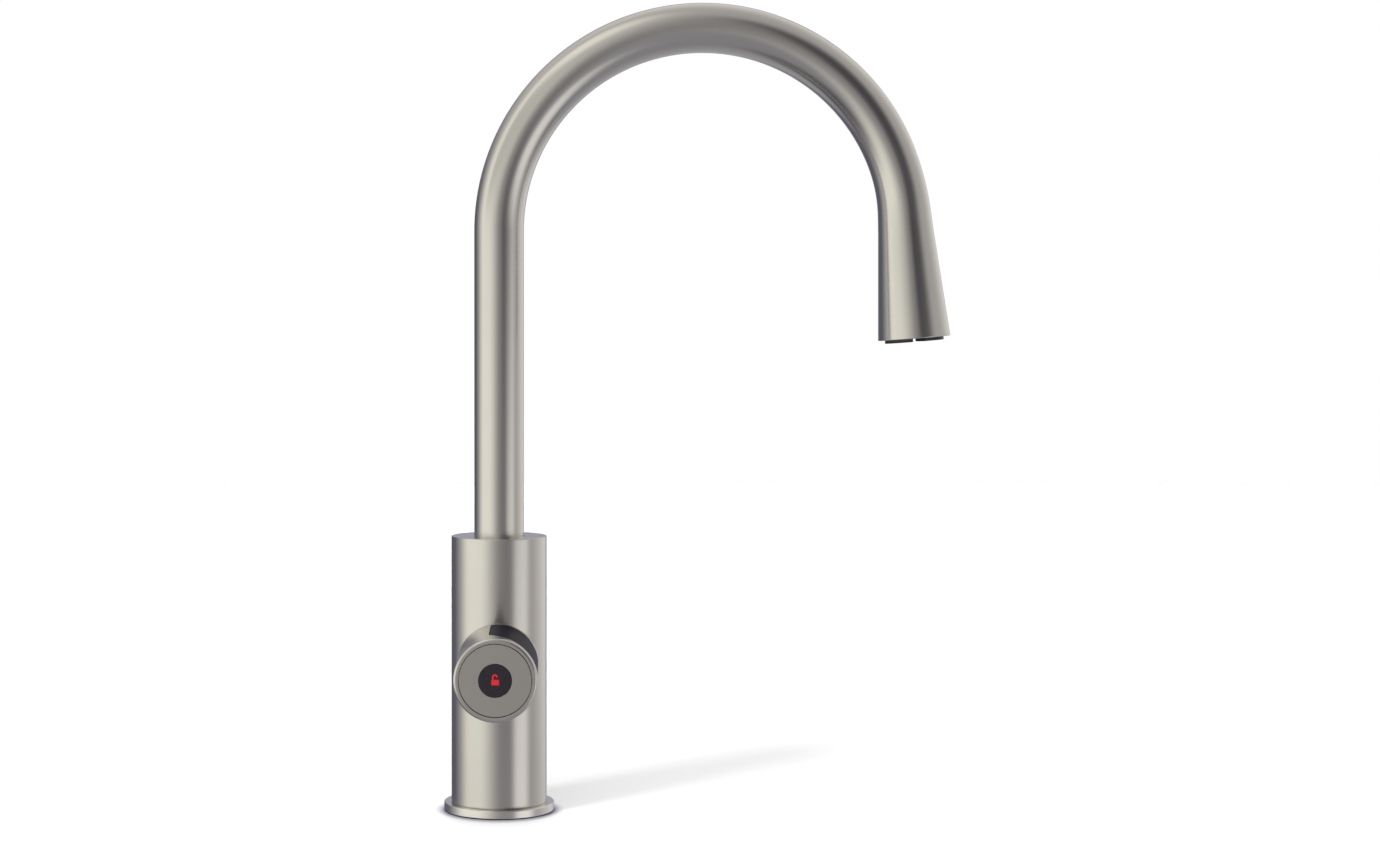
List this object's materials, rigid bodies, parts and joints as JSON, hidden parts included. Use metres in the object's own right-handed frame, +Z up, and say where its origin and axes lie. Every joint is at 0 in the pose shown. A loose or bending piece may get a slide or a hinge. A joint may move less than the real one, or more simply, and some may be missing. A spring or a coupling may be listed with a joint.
{
  "type": "boiling water tap",
  "caption": "Swan-neck kitchen tap for filtered boiling and cold water, with a side control barrel, touch panel and push-to-unlock button, clamped through a worktop.",
  "frame": {"origin": "centre of the column on the worktop's top face, where the fixing shank passes through the worktop", "axes": "+Z up along the column, +X the way the spout points at rest, the control barrel along -Y"},
  "size_m": [0.2647, 0.1118, 0.4989],
  "materials": {
    "brushed_nickel": "satin brushed nickel",
    "nickel_face": "fine matt nickel",
    "brass": "machined",
    "steel": "stainless, machined",
    "copper": "drawn copper",
    "black_glass": "polished black, curved",
    "lens_black": "smoked lens",
    "black_plastic": "matt",
    "white_plastic": "matt",
    "clear_plastic": "clear",
    "rubber": "matt black",
    "circuit_board": "green board"
  },
  "bodies": {
    "body": {"base_flange": "brushed_nickel", "base_gasket": "rubber", "fixing_shank": "brass", "clamp_gasket": "rubber", "clamp_washer": "steel", "clamp_nut": "brass", "shank_gland": "black_plastic", "boiling_inlet": "steel", "cold_inlet": "steel", "cable_socket": "black_plastic", "boiling_feed_pipe": "copper", "cold_feed_pipe": "copper", "control_lead": "black_plastic", "body_shell": "brushed_nickel", "body_core": "brass", "glide_ring_upper": "white_plastic", "glide_ring_lower": "white_plastic", "swivel_stop_pin": "steel", "barrel_shell": "brushed_nickel", "barrel_stub": "brass", "stub_nut": "brass", "touch_panel": "black_glass", "panel_carrier": "black_plastic", "touch_board": "circuit_board", "button_guide": "white_plastic", "switch_board": "circuit_board", "lit_switch": "clear_plastic", "button_spring": "steel"},
    "spout": {"spout_tube": "brushed_nickel", "spout_spigot": "brass", "spigot_seal_upper": "rubber", "spigot_seal_lower": "rubber", "boiling_spout_pipe": "copper", "cold_spout_pipe": "copper", "outlet_insert": "black_plastic", "outlet_seal": "rubber", "outlet_manifold": "white_plastic", "flow_screen": "steel"},
    "button": {"button_face": "nickel_face", "lock_lens": "lens_black", "button_stem": "white_plastic", "light_guide": "clear_plastic"}
  },
  "joints": [
    {"name": "spout_swivel", "type": "hinge", "parent": "body", "child": "spout", "pos_m": [0, 0, 0.144], "axis": [0, 0, 1], "range_deg": [-60, 60]},
    {"name": "unlock_button", "type": "slide", "parent": "body", "child": "button", "axis": [0, 1, 0], "range_m": [0, 0.001], "stiffness_N_per_m": 1500, "springref_m": -0.0005, "deforming": ["button_spring"]}
  ]
}
